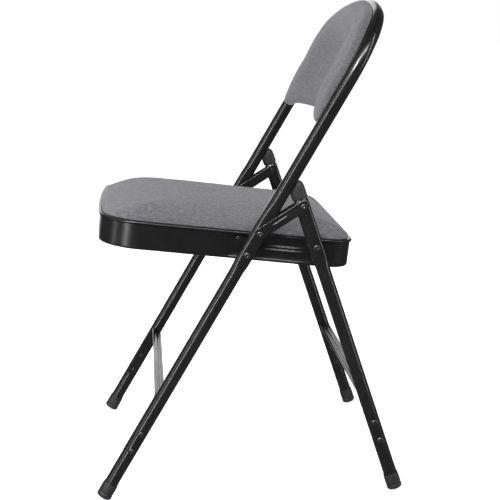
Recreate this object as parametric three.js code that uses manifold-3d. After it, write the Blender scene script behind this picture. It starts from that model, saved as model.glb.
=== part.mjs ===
// Folding chair: tubular hoop front frame with backrest, rear legs, padded seat pan and folding links.
// Units mm. +Z up, the sitter faces -Y, +X is the sitter's left. Rest pose: open, standing on z = 0.
import * as THREE from 'three';
import Module from 'manifold-3d';

const wasm = await Module();
wasm.setup();
const { Manifold, Mesh } = wasm;

// ---------- driving dimensions ----------
const GAP = 0.3; // clearance between touching pieces
const TUBE_R = 11.1, TUBE_RI = 10.1; // 22.2 mm (7/8 in) steel tube, 1 mm wall
const FLAT_X = 9.9, FLAT_N = 12.2; // half widths where the tube is pressed flat around a pivot: along x, across x
const NECK_X = 8.2, NECK_N = 10.6; // end of the rear leg, necked down to take its cap
const HALF_W = 221; // tube centre lines, both frames
const FRONT_Y0 = -247.61, FRONT_A = 59.53; // where the front axis meets the floor, slope in degrees
const REAR_Y0 = 244.45, REAR_A = 108.5;
const HOOP_BEND = 795, HOOP_R1 = 118, HOOP_A1 = 75; // hoop corner start, radius, angle; the top arc closes the rest
const CAP_FROM_APEX = 562.25; // distance up the rear leg axis to where it crosses the front tube axis
const REAR_TOP = CAP_FROM_APEX - 27; // end of the rear leg tube
const A_S = 473.0, B_S = 513.0; // seat pivot and link pivot along the front tube
const D_Q = 440.7, C_Q = 512.1; // seat pivot and link pivot along the rear leg
const SEAT_TILT = 6.5, SEAT_Z = 440.3, SEAT_Y0 = -2.26; // seat plane drops to the back; height of the rim plane at SEAT_Y0
const SEAT_HW = 201.5, SEAT_FRONT = -242, SEAT_BACK = 174, SEAT_RF = 66, SEAT_RB = 44;
const PAN_H = 46, SHEET = 1.2;
const PLATE_T = 2, PLATE_R = 8.8; // hinge plates
const FOOT_R = 12.5, FOOT_L = 27;
const SEG = 22;

const rad = (a) => (a * Math.PI) / 180;
const fc = Math.cos(rad(FRONT_A)), fs = Math.sin(rad(FRONT_A));
const rc = Math.cos(rad(REAR_A)), rs = Math.sin(rad(REAR_A));
const smooth = (a, b, v) => { const t = Math.min(1, Math.max(0, (v - a) / (b - a))); return t * t * (3 - 2 * t); };

// frame basis helpers: (x, s, n) -> world; n points to the sitter's side for the front frame
const front = (x, s, n = 0) => new THREE.Vector3(x, FRONT_Y0 + s * fc - n * fs, s * fs + n * fc);
const rear = (x, q, n = 0) => new THREE.Vector3(x, REAR_Y0 + q * rc + n * rs, q * rs - n * rc);
const st = Math.sin(rad(SEAT_TILT)), ct = Math.cos(rad(SEAT_TILT));
const seat = (x, t, h = 0) => new THREE.Vector3(x, SEAT_Y0 + t * ct + h * st, SEAT_Z - t * st + h * ct);

// ---------- mesh helpers ----------
function geo(pos, idx) {
  let v = 0;
  const P = (i) => pos[i];
  for (let k = 0; k < idx.length; k += 3) {
    const a = P(idx[k]), b = P(idx[k + 1]), c = P(idx[k + 2]);
    v += a.x * (b.y * c.z - b.z * c.y) - a.y * (b.x * c.z - b.z * c.x) + a.z * (b.x * c.y - b.y * c.x);
  }
  if (v < 0) for (let k = 0; k < idx.length; k += 3) [idx[k + 1], idx[k + 2]] = [idx[k + 2], idx[k + 1]];
  const g = new THREE.BufferGeometry();
  g.setAttribute('position', new THREE.Float32BufferAttribute(pos.flatMap((p) => [p.x, p.y, p.z]), 3));
  g.setIndex(idx);
  g.computeVertexNormals();
  return g;
}
// rings of equal length; wrap = last ring joins the first, otherwise the ends are capped by a fan
function loft(rings, wrap = false) {
  const n = rings[0].length, pos = rings.flat(), idx = [];
  const last = wrap ? rings.length : rings.length - 1;
  for (let i = 0; i < last; i++) {
    const a = i * n, b = ((i + 1) % rings.length) * n;
    for (let j = 0; j < n; j++) {
      const k = (j + 1) % n;
      idx.push(a + j, b + j, b + k, a + j, b + k, a + k);
    }
  }
  if (!wrap) {
    for (const [r, flip] of [[0, false], [rings.length - 1, true]]) {
      const ring = rings[r];
      const o = ring[0], e1 = new THREE.Vector3(), nrm = new THREE.Vector3();
      for (let j = 1; j < n - 1; j++) nrm.add(new THREE.Vector3().crossVectors(ring[j].clone().sub(o), ring[j + 1].clone().sub(o)));
      nrm.normalize();
      e1.copy(ring[1]).sub(o).normalize();
      const e2 = new THREE.Vector3().crossVectors(nrm, e1);
      const flat = ring.map((p) => { const d = p.clone().sub(o); return new THREE.Vector2(d.dot(e1), d.dot(e2)); });
      for (const t of THREE.ShapeUtils.triangulateShape(flat, [])) {
        const f = [t[0] + r * n, t[1] + r * n, t[2] + r * n];
        if (flip) f.reverse();
        idx.push(...f);
      }
    }
  }
  return geo(pos, idx);
}
// surface of revolution about +Z; profile [r, z], either pole to pole or closed on itself
function lathe(profile, seg = SEG) {
  const pos = [], idx = [], start = [];
  const closed = profile[0][0] > 1e-6;
  for (const [r, z] of profile) {
    start.push(pos.length);
    if (r < 1e-6) pos.push(new THREE.Vector3(0, 0, z));
    else for (let j = 0; j < seg; j++) { const a = (2 * Math.PI * j) / seg; pos.push(new THREE.Vector3(r * Math.cos(a), r * Math.sin(a), z)); }
  }
  const m = profile.length, last = closed ? m : m - 1;
  for (let i = 0; i < last; i++) {
    const i2 = (i + 1) % m, p1 = profile[i][0] < 1e-6, p2 = profile[i2][0] < 1e-6;
    for (let j = 0; j < seg; j++) {
      const k = (j + 1) % seg, a = start[i], b = start[i2];
      if (p1 && p2) continue;
      if (p1) idx.push(a, b + j, b + k);
      else if (p2) idx.push(a + j, b, a + k);
      else idx.push(a + j, b + j, b + k, a + j, b + k, a + k);
    }
  }
  return geo(pos, idx);
}
// put a geometry made about +Z so that +Z runs along dir and its origin sits at p
function place(g, p, dir) {
  const q = new THREE.Quaternion().setFromUnitVectors(new THREE.Vector3(0, 0, 1), dir.clone().normalize());
  return g.applyMatrix4(new THREE.Matrix4().compose(p, q, new THREE.Vector3(1, 1, 1)));
}
function toMan(g) {
  const p = g.attributes.position, map = new Map(), remap = [], verts = [];
  for (let i = 0; i < p.count; i++) {
    const key = `${Math.round(p.getX(i) * 1e4)}_${Math.round(p.getY(i) * 1e4)}_${Math.round(p.getZ(i) * 1e4)}`;
    if (!map.has(key)) { map.set(key, verts.length / 3); verts.push(p.getX(i), p.getY(i), p.getZ(i)); }
    remap.push(map.get(key));
  }
  const src = g.index ? Array.from(g.index.array) : remap.map((_, i) => i), tris = [];
  for (let k = 0; k < src.length; k += 3) {
    const a = remap[src[k]], b = remap[src[k + 1]], c = remap[src[k + 2]];
    if (a !== b && b !== c && a !== c) tris.push(a, b, c);
  }
  return new Manifold(new Mesh({ numProp: 3, vertProperties: new Float32Array(verts), triVerts: new Uint32Array(tris) }));
}
function fromMan(m) {
  const r = m.getMesh(), pos = [];
  for (let i = 0; i < r.vertProperties.length; i += r.numProp) pos.push(new THREE.Vector3(r.vertProperties[i], r.vertProperties[i + 1], r.vertProperties[i + 2]));
  return geo(pos, Array.from(r.triVerts));
}
const cut = (g, tools) => { let m = toMan(g); for (const t of tools) m = m.subtract(toMan(t)); return fromMan(m); };
const trim = (g, normal, offset) => fromMan(toMan(g).trimByPlane(normal, offset));
// straight drill along x between x0 and x1
const drill = (x0, x1, y, z, r, seg = 12) => {
  const g = lathe([[0, 0], [r, 0], [r, x1 - x0], [0, x1 - x0]], seg);
  return place(g, new THREE.Vector3(x0, y, z), new THREE.Vector3(1, 0, 0));
};

const root = new THREE.Group();
root.name = 'folding_chair';
const BLACK = 0x161617, PLASTIC = 0x101011, RUBBER = 0x18181a, FABRIC = 0x6f6f76, WOOD = 0xb08a5c, STEEL = 0x1d1d1f;
function add(name, g, color, rough = 0.4, metal = 0.2) {
  const m = new THREE.Mesh(g, new THREE.MeshStandardMaterial({ color, roughness: rough, metalness: metal }));
  m.name = name;
  root.add(m);
  return m;
}
const mirrorX = (g) => {
  const c = g.clone().applyMatrix4(new THREE.Matrix4().makeScale(-1, 1, 1));
  const i = c.index.array;
  for (let k = 0; k < i.length; k += 3) { const t = i[k + 1]; i[k + 1] = i[k + 2]; i[k + 2] = t; }
  c.computeVertexNormals();
  return c;
};
function pair(name, g, ...mat) { add(`${name}_left`, g, ...mat); add(`${name}_right`, mirrorX(g), ...mat); }

// hollow tube along points (each {p, side, up, hx, hn}); hx and hn are the half widths along side and up where the tube is
// not round; the bore has fewer sides than the outside
function tube(stations, ro, ri, segO = SEG, segI = 14) {
  const pos = [], idx = [];
  const ring = (s, r, n) => {
    const w = r - ro, hx = (s.hx ?? ro) + w, hn = (s.hn ?? ro) + w;
    for (let j = 0; j < n; j++) { const a = (2 * Math.PI * j) / n; pos.push(s.p.clone().addScaledVector(s.side, hx * Math.cos(a)).addScaledVector(s.up, hn * Math.sin(a))); }
  };
  for (const s of stations) ring(s, ro, segO);
  const base = pos.length;
  for (const s of stations) ring(s, ri, segI);
  const m = stations.length;
  for (let i = 0; i < m - 1; i++) {
    for (let j = 0; j < segO; j++) { const a = i * segO, b = a + segO, k = (j + 1) % segO; idx.push(a + j, b + k, b + j, a + j, a + k, b + k); }
    for (let j = 0; j < segI; j++) { const a = base + i * segI, b = a + segI, k = (j + 1) % segI; idx.push(a + j, b + j, b + k, a + j, b + k, a + k); }
  }
  const circ = (r, n) => Array.from({ length: n }, (_, j) => new THREE.Vector2(r * Math.cos((2 * Math.PI * j) / n), r * Math.sin((2 * Math.PI * j) / n)));
  const tris = THREE.ShapeUtils.triangulateShape(circ(ro, segO), [circ(ri, segI).reverse()]);
  const at = (e, k) => (k < segO ? e * segO + k : base + e * segI + (segI - 1 - (k - segO)));
  for (const t of tris) {
    const s = t.map((k) => at(0, k)), e = t.map((k) => at(m - 1, k));
    idx.push(s[2], s[1], s[0], e[0], e[1], e[2]);
  }
  return geo(pos, idx);
}

// ---------- pivots ----------
const A = front(0, A_S), B = front(0, B_S), D = rear(0, D_Q), C = rear(0, C_Q);

// ---------- front frame: one bent tube from foot to foot ----------
const R2 = (HALF_W - HOOP_R1 * (1 - Math.cos(rad(HOOP_A1)))) / Math.sin(rad(90 - HOOP_A1));
function hoopPoints(from) {
  const pts = [[HALF_W, from, 90], [HALF_W, HOOP_BEND, 90]];
  for (let i = 1; i <= 9; i++) { const a = (HOOP_A1 * i) / 9; pts.push([HALF_W - HOOP_R1 * (1 - Math.cos(rad(a))), HOOP_BEND + HOOP_R1 * Math.sin(rad(a)), 90 + a]); }
  const [x0, s0] = pts[pts.length - 1];
  const cs = s0 - R2 * Math.sin(rad(HOOP_A1)); // centre of the top arc on x = 0
  for (let i = 1; i <= 3; i++) { const a = HOOP_A1 + ((90 - HOOP_A1) * i) / 3; pts.push([R2 * Math.cos(rad(a)), cs + R2 * Math.sin(rad(a)), 90 + a]); }
  return pts;
}
const footS = 4.5, footQ = 2.0;
const bent = hoopPoints(footS + 5.3);
const half = [bent[0], ...[[445, 0], [460, 1], [547, 1], [562, 0]].map(([s, f]) => [HALF_W, s, 90, f]), ...bent.slice(1)];
const whole = [...half, ...half.slice(0, -1).reverse().map(([x, s, a, f]) => [-x, s, 360 - a, f])];
const nF = new THREE.Vector3(0, -fs, fc);
const hoopStations = whole.map(([x, s, a, f]) => {
  const side = new THREE.Vector3(Math.cos(rad(a - 90)), fc * Math.sin(rad(a - 90)), fs * Math.sin(rad(a - 90)));
  return f ? { p: front(x, s), side, up: nF, hx: FLAT_X, hn: FLAT_N } : { p: front(x, s), side, up: nF };
});
const braceF = [98.6, 131.1], braceR = [94.9, 127.6]; // rivets along the front and rear legs
const both = (f) => [f(1), f(-1)].flat();
const xd = (sgn, p, r) => (sgn > 0 ? drill(200, 240, p.y, p.z, r) : drill(-240, -200, p.y, p.z, r));
add('front_frame_tube', cut(tube(hoopStations, TUBE_R, TUBE_RI), both((k) => [
  xd(k, A, 4 + GAP), xd(k, B, 4 + GAP), xd(k, front(0, braceF[0]), 3 + GAP), xd(k, front(0, braceF[1]), 3 + GAP)])), BLACK);

// ---------- rear legs ----------
const nR = new THREE.Vector3(0, rs, -rc);
const legSt = [[footQ + 5.3], [408], [424, FLAT_X, FLAT_N], [519, FLAT_X, FLAT_N], [523.5, NECK_X, NECK_N], [REAR_TOP, NECK_X, NECK_N]].map(([q, hx, hn]) => ({ p: rear(HALF_W, q), side: new THREE.Vector3(1, 0, 0), up: nR, hx, hn }));
const legG = cut(tube(legSt, TUBE_R, TUBE_RI), [xd(1, D, 4 + GAP), xd(1, rear(0, braceR[0]), 3 + GAP), xd(1, rear(0, braceR[1]), 3 + GAP)]);
pair('rear_leg_tube', legG, BLACK);

// ---------- rubber feet, flat on the floor ----------
const footProfile = [[0, 0], [9.2, 0], [11.4, 0.9], [FOOT_R, 3], [FOOT_R, 20], [12.1, FOOT_L - 1], [11.9, FOOT_L], [TUBE_R + GAP, FOOT_L], [TUBE_R + GAP, 5], [0, 5]];
const frontFoot = trim(place(lathe(footProfile), front(HALF_W, footS), new THREE.Vector3(0, fc, fs)), [0, 0, 1], 0);
const rearFoot = trim(place(lathe(footProfile), rear(HALF_W, footQ), new THREE.Vector3(0, rc, rs)), [0, 0, 1], 0);
pair('front_foot', frontFoot, RUBBER, 0.8, 0);
pair('rear_foot', rearFoot, RUBBER, 0.8, 0);

// ---------- rear leg caps: bevelled, they rest on the back of the front tube ----------
const capBase = CAP_FROM_APEX - 38;
const capShape = lathe([[0, 30], [4, 29.7], [8, 28.2], [10.8, 25.2], [12.3, 20.5], [12.6, 15], [12.6, 0.8], [12.3, 0], [NECK_N + 0.4, 0], [NECK_N + 0.4, 11.4], [0, 11.4]]);
// oval section, wide across x, so that the hinge plates pass beside it
let cap = place(capShape, new THREE.Vector3(), new THREE.Vector3(0, rc, rs));
cap.applyMatrix4(new THREE.Matrix4().makeScale(FLAT_X / 12.6, 1, 1));
{ const c = rear(HALF_W, capBase); cap.translate(c.x, c.y, c.z); }
{
  // keep the side behind the front tube: points whose distance n from the hoop plane is below -(TUBE_R + GAP)
  const nb = [0, fs, -fc];
  const p = front(0, 0, -(TUBE_R + GAP));
  cap = trim(cap, nb, nb[1] * p.y + nb[2] * p.z);
}
pair('rear_leg_cap', cap, PLASTIC, 0.5, 0);

// ---------- cross braces: steel straps bent down at the ends and riveted inside the legs ----------
const BR_X = HALF_W - TUBE_R - GAP, BR_W = 19, BR_T = 1.6;
function brace(map, nrm, foot, top, rivets) {
  // path in the leg plane: up one leg, across, down the other; offset side = outward
  const R = 11, pts = [];
  pts.push([BR_X, foot, 0], [BR_X, foot + 45, 0], [BR_X, top - R - 8, 0], [BR_X, top - R, 0]);
  for (let i = 1; i <= 5; i++) { const a = (90 * i) / 5; pts.push([BR_X - R + R * Math.cos(rad(a)), top - R + R * Math.sin(rad(a)), a]); }
  pts.push([BR_X - R - 20, top, 90], [0, top, 90]);
  const all = [...pts, ...pts.slice(0, -1).reverse().map(([x, s, a]) => [-x, s, 180 - a])];
  const rings = all.map(([x, s, a]) => {
    const g = smooth(BR_X - 2, BR_X - 30, Math.abs(x)) * 2.6; // groove depth
    const prof = [[-9.5, 0], [-4.6, 0], [-2.4, -g], [2.4, -g], [4.6, 0], [9.5, 0], [9.5, -BR_T], [4.9, -BR_T], [2.6, -g - BR_T], [-2.6, -g - BR_T], [-4.9, -BR_T], [-9.5, -BR_T]];
    const o = [Math.cos(rad(a)), Math.sin(rad(a))];
    return prof.map(([w, m]) => map(x + o[0] * m, s + o[1] * m, w * (BR_W / 19)));
  });
  return cut(loft(rings), both((k) => rivets.map((r) => xd(k, map(0, r), 3 + GAP))));
}
add('front_cross_brace', brace(front, nF, 88, 194, braceF), BLACK);
add('rear_cross_brace', brace(rear, nR, 80, 180, braceR), BLACK);

// rivet along +x: dome head outside at xo, plain head inside at xi
function rivet(xi, xo, r, ro, ho, ri, hi, p) {
  const L = xo - xi;
  const prof = [[0, -hi], [ri * 0.7, -hi * 0.9], [ri, 0], [r, 0], [r, L], [ro, L], [ro * 0.88, L + ho * 0.6], [ro * 0.5, L + ho], [0, L + ho * 0.7]];
  return place(lathe(prof, 12), new THREE.Vector3(xi, p.y, p.z), new THREE.Vector3(1, 0, 0));
}
const xOut = HALF_W + TUBE_R + GAP, xBr = BR_X - BR_T - GAP;
for (const [tag, map, list] of [['front', front, braceF], ['rear', rear, braceR]]) {
  list.forEach((s, i) => pair(`${tag}_brace_rivet_${i ? 'upper' : 'lower'}`, rivet(xBr, xOut, 3, 5.2, 2.6, 4.6, 2, map(0, s)), STEEL, 0.35, 0.6));
}

// ---------- seat ----------
const side = (t) => smooth(-66, -44, t) * (1 - smooth(140, 158, t)); // recessed part of the side walls
function outline(hw, tf, tb, rf, rb) {
  const P = [];
  const arc = (cx, cy, r, a0, a1, n) => { for (let i = 0; i <= n; i++) { const a = rad(a0 + ((a1 - a0) * i) / n); P.push([cx + r * Math.cos(a), cy + r * Math.sin(a), Math.cos(a), Math.sin(a)]); } };
  const bow = 5; // the front edge bows forward slightly
  arc(hw - rb, tb - rb, rb, 0, 90, 7);
  P.push([0, tb, 0, 1]);
  arc(-(hw - rb), tb - rb, rb, 90, 180, 7);
  for (const t of [158, 140, 100, 40, -20, -44, -55, -66, -120]) if (t < tb - rb - 1 && t > tf + rf + 1) P.push([-hw, t, -1, 0]);
  arc(-(hw - rf), tf + rf, rf, 180, 270, 8);
  for (const x of [-70, 0, 70]) P.push([x, tf - bow * (1 - (x / (hw - rf)) ** 2), 0, -1]);
  arc(hw - rf, tf + rf, rf, 270, 360, 8);
  for (const t of [-120, -66, -55, -44, -20, 40, 100, 140, 158]) if (t < tb - rb - 1 && t > tf + rf + 1) P.push([hw, t, 1, 0]);
  return P;
}
const seatLine = outline(SEAT_HW, SEAT_FRONT, SEAT_BACK, SEAT_RF, SEAT_RB);
const panRings = seatLine.map(([x, t, nx, nt]) => {
  const w = Math.abs(nx) > 0.99 ? side(t) : 0, q = -2 * w, b = 1.3 * w;
  const prof = [[-1.4, -PAN_H], [0, -44.6], [q, -43.3], [q, -26.6], [q + b, -24.3], [q + b, -21.3], [q, -19], [q, -5], [0, -4.3],
    [2.1, -3.8], [3, -2.5], [2.6, -1], [1.2, -0.1], [-1.2, 0], [-2.6, -0.8], [-25, -0.8], [-25, -2.2],
    [q - SHEET, -2.2], [q - SHEET, -42], [-3.7, -44.7], [-13, -44.7], [-13, -PAN_H]];
  return prof.map(([n, h]) => seat(x + nx * n, t + nt * n, h));
});
const brk = { t0: -52 };
const R1 = seat(0, -15.2, -12.2), R3 = seat(0, 121, -12.2); // small bracket rivets
const panHoles = both((k) => [xd2(k, A, 4 + GAP), xd2(k, D, 4 + GAP), xd2(k, R1, 2 + GAP), xd2(k, R3, 2 + GAP)]);
function xd2(sgn, p, r) { return sgn > 0 ? drill(185, 206, p.y, p.z, r) : drill(-206, -185, p.y, p.z, r); }
const boardScrews = [[-180.5, -130], [180.5, -130], [-180.5, 90], [180.5, 90]];
const BOARD_IN = 14.4, BOARD_TOP = 4.5; // edge of the board inside the rim, height of its top over the rim plane
const vdrill = (x, t, h0, h1, r) => place(lathe([[0, 0], [r, 0], [r, h1 - h0], [0, h1 - h0]], 12), seat(x, t, h0), new THREE.Vector3(0, st, ct));
add('seat_pan', cut(loft(panRings, true), [...panHoles, ...boardScrews.map(([x, t]) => vdrill(x, t, -6, 3, 2 + GAP))]), BLACK);

// plywood board let into the pan
const inset = (d) => seatLine.map(([x, t, nx, nt]) => [x - nx * d, t - nt * d]);
const bo = inset(BOARD_IN), board = loft([bo.map(([x, t]) => seat(x, t, -0.5)), bo.map(([x, t]) => seat(x, t, BOARD_TOP))]);
add('seat_board', cut(board, boardScrews.map(([x, t]) => vdrill(x, t, -4, 4.1, 2 + GAP))), WOOD, 0.8, 0);
boardScrews.forEach(([x, t], i) => {
  const g = place(lathe([[0, -1.7], [2.6, -1.6], [4, -0.5], [4, 0], [2, 0], [2, 5.8], [0, 6.3]], 12), seat(x, t, -2.6), new THREE.Vector3(0, st, ct));
  add(`seat_board_screw_${i + 1}`, g, STEEL, 0.35, 0.8);
});

// seat cushion: crowned pad on the board, its edge tucked inside the rim
// height of the pad over the rim plane a distance d inside the edge: it rises gently at the front and faster at the back
const CROWN = 31;
const rise = (d, nt) => {
  const f = Math.max(0, -nt) ** 2, b = Math.max(0, nt) ** 2;
  return CROWN * (1 - 0.08 * f) * (1 - Math.exp(-(d - 1.5 - 1.5 * f + b) / (20 + 10 * f - 4 * b)));
};
const cushC = [0, -34];
const BI = BOARD_IN - GAP, BT = BOARD_TOP + GAP; // recess of the pad that takes the board
const cr = [[BI, BT], [BI, -0.5], [3.9, -0.5], [3.6, 1.4]].map(([d, h]) => seatLine.map(([x, t, nx, nt]) => seat(x - nx * d, t - nt * d, h)));
for (const [d, k] of [[5, 0], [9, 0], [15, 0], [24, 0], [24, 0.16], [24, 0.36], [24, 0.6], [24, 0.82]]) {
  cr.push(seatLine.map(([x, t, nx, nt]) => {
    const X0 = x - nx * d, T0 = t - nt * d, X = X0 + (cushC[0] - X0) * k, T = T0 + (cushC[1] - T0) * k;
    const far = Math.abs((X0 - X) * nx + (T0 - T) * nt);
    return seat(X, T, Math.max(rise(d + far, nt), d < 6 ? 2.6 : 0));
  }));
}
{
  const n = cr[0].length, pos = [seat(0, -34, BT), ...cr.flat(), seat(0, -34, CROWN)], idx = [];
  for (let j = 0; j < n; j++) {
    const k = (j + 1) % n;
    idx.push(0, 1 + k, 1 + j);
    for (let i = 0; i < cr.length - 1; i++) { const a = 1 + i * n, b = a + n; idx.push(a + j, a + k, b + k, a + j, b + k, b + j); }
    idx.push(1 + (cr.length - 1) * n + j, 1 + (cr.length - 1) * n + k, pos.length - 1);
  }
  add('seat_cushion', geo(pos, idx), FABRIC, 0.95, 0);
}

// side reinforcement brackets inside the pan walls
const panIn = SEAT_HW - 2 - SHEET; // inner face of the recessed wall
const xFlat = HALF_W + FLAT_X + GAP, xIn = HALF_W - FLAT_X - GAP; // just off the flattened tube, outside and inside
{
  const s = new THREE.Shape([[brk.t0, -3.4], [brk.t0, -32], [brk.t0 + 6, -39], [123, -39], [128.5, -32], [128.5, -3.4]].map(([a, b]) => new THREE.Vector2(a, b)));
  let g = new THREE.ExtrudeGeometry(s, { depth: 2, bevelEnabled: false });
  // shape (a, b, depth) -> seat frame, depth along +x
  const m = new THREE.Matrix4().makeBasis(new THREE.Vector3(0, ct, -st), new THREE.Vector3(0, st, ct), new THREE.Vector3(1, 0, 0));
  m.setPosition(seat(panIn - GAP - 2, 0, 0));
  g.applyMatrix4(m);
  g = cut(fixOut(g), [xd2(1, A, 4 + GAP), xd2(1, D, 4 + GAP), xd2(1, R1, 2 + GAP), xd2(1, R3, 2 + GAP)]);
  pair('seat_side_bracket', g, BLACK);
}
function fixOut(g) {
  const p = g.attributes.position, pos = [];
  for (let i = 0; i < p.count; i++) pos.push(new THREE.Vector3().fromBufferAttribute(p, i));
  return geo(pos, g.index ? Array.from(g.index.array) : pos.map((_, i) => i));
}
const wallOut = SEAT_HW - 2;
pair('seat_bracket_rivet_front', rivet(panIn - GAP * 2 - 2, wallOut + GAP, 2, 3.4, 1.3, 3.2, 1.3, R1), STEEL, 0.35, 0.6);
pair('seat_bracket_rivet_rear', rivet(panIn - GAP * 2 - 2, wallOut + GAP, 2, 3.4, 1.3, 3.2, 1.3, R3), STEEL, 0.35, 0.6);

// ---------- pivots of the seat: long rivets through tube, spacer, pan wall and bracket ----------
const spacer = (p) => {
  const w = xIn - (wallOut + GAP);
  return place(lathe([[4 + GAP, 0], [5.2, 0], [5.2, w], [4 + GAP, w]], 12), new THREE.Vector3(wallOut + GAP, p.y, p.z), new THREE.Vector3(1, 0, 0));
};
pair('front_pivot_spacer', spacer(A), PLASTIC, 0.6, 0);
pair('rear_pivot_spacer', spacer(D), PLASTIC, 0.6, 0);
const pivIn = panIn - GAP * 2 - 2;
pair('front_pivot_rivet', rivet(pivIn, xFlat, 4, 5.6, 3.2, 5.6, 2.4, A), STEEL, 0.35, 0.6);
pair('rear_pivot_rivet', rivet(pivIn, xFlat, 4, 5.6, 3.2, 5.6, 2.4, D), STEEL, 0.35, 0.6);

// ---------- hinge links: a pair of steel plates each side, outside and inside the tubes ----------
const plate = (x0, d, tail) => {
  const bc = C.clone().sub(B), L = bc.length(), u = bc.clone().normalize();
  const v = new THREE.Vector3(0, -u.z, u.y);
  const pts = [];
  for (let i = 0; i <= 10; i++) { const a = rad(-90 + 18 * i); pts.push([L + PLATE_R * Math.cos(a), PLATE_R * Math.sin(a)]); }
  for (let i = 0; i <= 10; i++) { const a = rad(90 + 18 * i); pts.push([PLATE_R * Math.cos(a), PLATE_R * Math.sin(a)]); }
  const s = new THREE.Shape(pts.map(([a, b]) => new THREE.Vector2(a, b)));
  const hole = (cx) => { const h = new THREE.Path(); h.absarc(cx, 0, 4 + GAP, 0, 2 * Math.PI, true); return h; };
  s.holes.push(hole(0), hole(L));
  const g = new THREE.ExtrudeGeometry(s, { depth: d, bevelEnabled: false, curveSegments: 8 });
  const m = new THREE.Matrix4().makeBasis(u, v, new THREE.Vector3().crossVectors(u, v));
  m.setPosition(new THREE.Vector3(0, B.y, B.z));
  g.applyMatrix4(m);
  const box = new THREE.Box3().setFromBufferAttribute(g.attributes.position);
  g.translate(x0 - box.min.x, 0, 0);
  return fromMan(toMan(fixOut(g)));
};
pair('hinge_plate_outer', plate(xFlat, PLATE_T), BLACK);
pair('hinge_plate_inner', plate(xIn - PLATE_T, PLATE_T), BLACK);
// link pivot on the front tube: one rivet right through
const linkOut = xFlat + PLATE_T + GAP, linkIn = xIn - PLATE_T - GAP;
pair('link_front_rivet', rivet(linkIn, linkOut, 4, 5.4, 3, 5.2, 1.8, B), STEEL, 0.35, 0.6);
// link pivot on the rear leg: a short rivet in each plate
{
  const L = PLATE_T + GAP;
  const out = lathe([[0, 0], [4, 0], [4, L], [5.2, L], [4.6, L + 1.8], [2.6, L + 3], [0, L + 2.3]], 12);
  pair('link_rear_rivet_outer', place(out, new THREE.Vector3(xFlat, C.y, C.z), new THREE.Vector3(1, 0, 0)), STEEL, 0.35, 0.6);
  const inn = lathe([[0, 0], [4, 0], [4, L], [5.2, L], [3.6, L + 1.6], [0, L + 1.8]], 12);
  pair('link_rear_rivet_inner', place(inn, new THREE.Vector3(xIn, C.y, C.z), new THREE.Vector3(-1, 0, 0)), STEEL, 0.35, 0.6);
}

// ---------- backrest ----------
const PAD_S0 = 709; // lower tips of the backrest
const padLine = []; // x, s, nx, ns around the pad just inside the hoop axis
{
  const pts = hoopPoints(PAD_S0).slice(0);
  const rightSide = [[HALF_W, PAD_S0 + 4, 90], [HALF_W, 722, 90], [HALF_W, 740, 90], [HALF_W, 765, 90], ...pts.slice(1)];
  for (const [x, s, a] of rightSide) padLine.push([x, s, Math.cos(rad(a - 90)), Math.sin(rad(a - 90))]);
  const leftSide = rightSide.slice(0, -1).reverse();
  for (const [x, s, a] of leftSide) padLine.push([-x, s, -Math.cos(rad(a - 90)), Math.sin(rad(a - 90))]);
  // lower edge, arched up in the middle
  const arch = (x) => PAD_S0 + 26 * (1 - (x / 205) ** 2);
  for (const x of [-208, -185, -150, -100, -50, 0, 50, 100, 150, 185, 208]) {
    if (Math.abs(x) > 200) padLine.push([x, PAD_S0, Math.sign(x) * 0.8, -0.6, true]);
    else padLine.push([x, arch(x), 0, -1]);
  }
}
const sag = (x, s) => 18 * (1 - (Math.min(205, Math.abs(x)) / 205) ** 2) * (1 - smooth(850, 908, s));
const crest = (s) => 15.5 + 9.5 * smooth(709, 785, s);
const padC = [0, 815];
const onHoop = (ns, tip) => tip || ns > -0.2; // edge that lies on the tube
// the outline moved inward by d along the hoop and by e along the lower edge, meeting in the corners
function padInset([x, s, nx, ns, tip], d, e) {
  if (!tip && ns > -0.2) return [x - nx * d, s - ns * d + Math.max(0, e - (s - PAD_S0) / 2)];
  return [Math.sign(x) * (Math.abs(x) - Math.max(0, d - 13 - (208 - Math.abs(x)) / 2)), s + e];
}
function padRing(d, n, k, back) {
  return padLine.map((row) => {
    const hoop = onHoop(row[3], row[4]);
    const [X0, S0] = padInset(row, d, Math.max(0, d - 4));
    const X = X0 + (padC[0] - X0) * k, S = S0 + (padC[1] - S0) * k;
    let N;
    if (back) N = -5 - sag(X, S) + n;
    else if (n.abs !== undefined) N = hoop ? n.abs : n.low - sag(X, S) * n.f;
    else N = crest(S) - sag(X, S) * 1.25 + n;
    return front(X, S, N);
  });
}
{
  const rings = [
    padRing(13, 0.6, 0, true), // back, just inside the tube
    padRing(12.6, { abs: 2, low: -3, f: 1 }, 0),
    padRing(9.5, { abs: 8.8, low: 1, f: 1 }, 0),
    padRing(4, { abs: 12.2, low: 8, f: 1.1 }, 0),
    padRing(0.5, { abs: 12.8, low: 11, f: 1.2 }, 0),
    padRing(4, -7.5, 0), padRing(11, -2.4, 0), padRing(26, 0, 0), padRing(26, 0, 0.16), padRing(26, 0, 0.36), padRing(26, 0, 0.58), padRing(26, 0, 0.8)];
  const n = rings[0].length, cx = front(padC[0], padC[1], crest(padC[1]) - sag(0, padC[1]) * 1.25);
  const inner = [0.3, 0.65].map((k) => padRing(13, 0.6, k, true));
  const all = [...inner.reverse(), ...rings];
  const cb = front(padC[0], padC[1], -5 - sag(0, padC[1]) + 0.6);
  const pos = [cb, ...all.flat(), cx], idx = [];
  for (let j = 0; j < n; j++) {
    const k = (j + 1) % n;
    idx.push(0, 1 + k, 1 + j);
    for (let i = 0; i < all.length - 1; i++) { const a = 1 + i * n, b = a + n; idx.push(a + j, a + k, b + k, a + j, b + k, b + j); }
    idx.push(1 + (all.length - 1) * n + j, 1 + (all.length - 1) * n + k, pos.length - 1);
  }
  add('backrest_cushion', geo(pos, idx), FABRIC, 0.95, 0);
}
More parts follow.
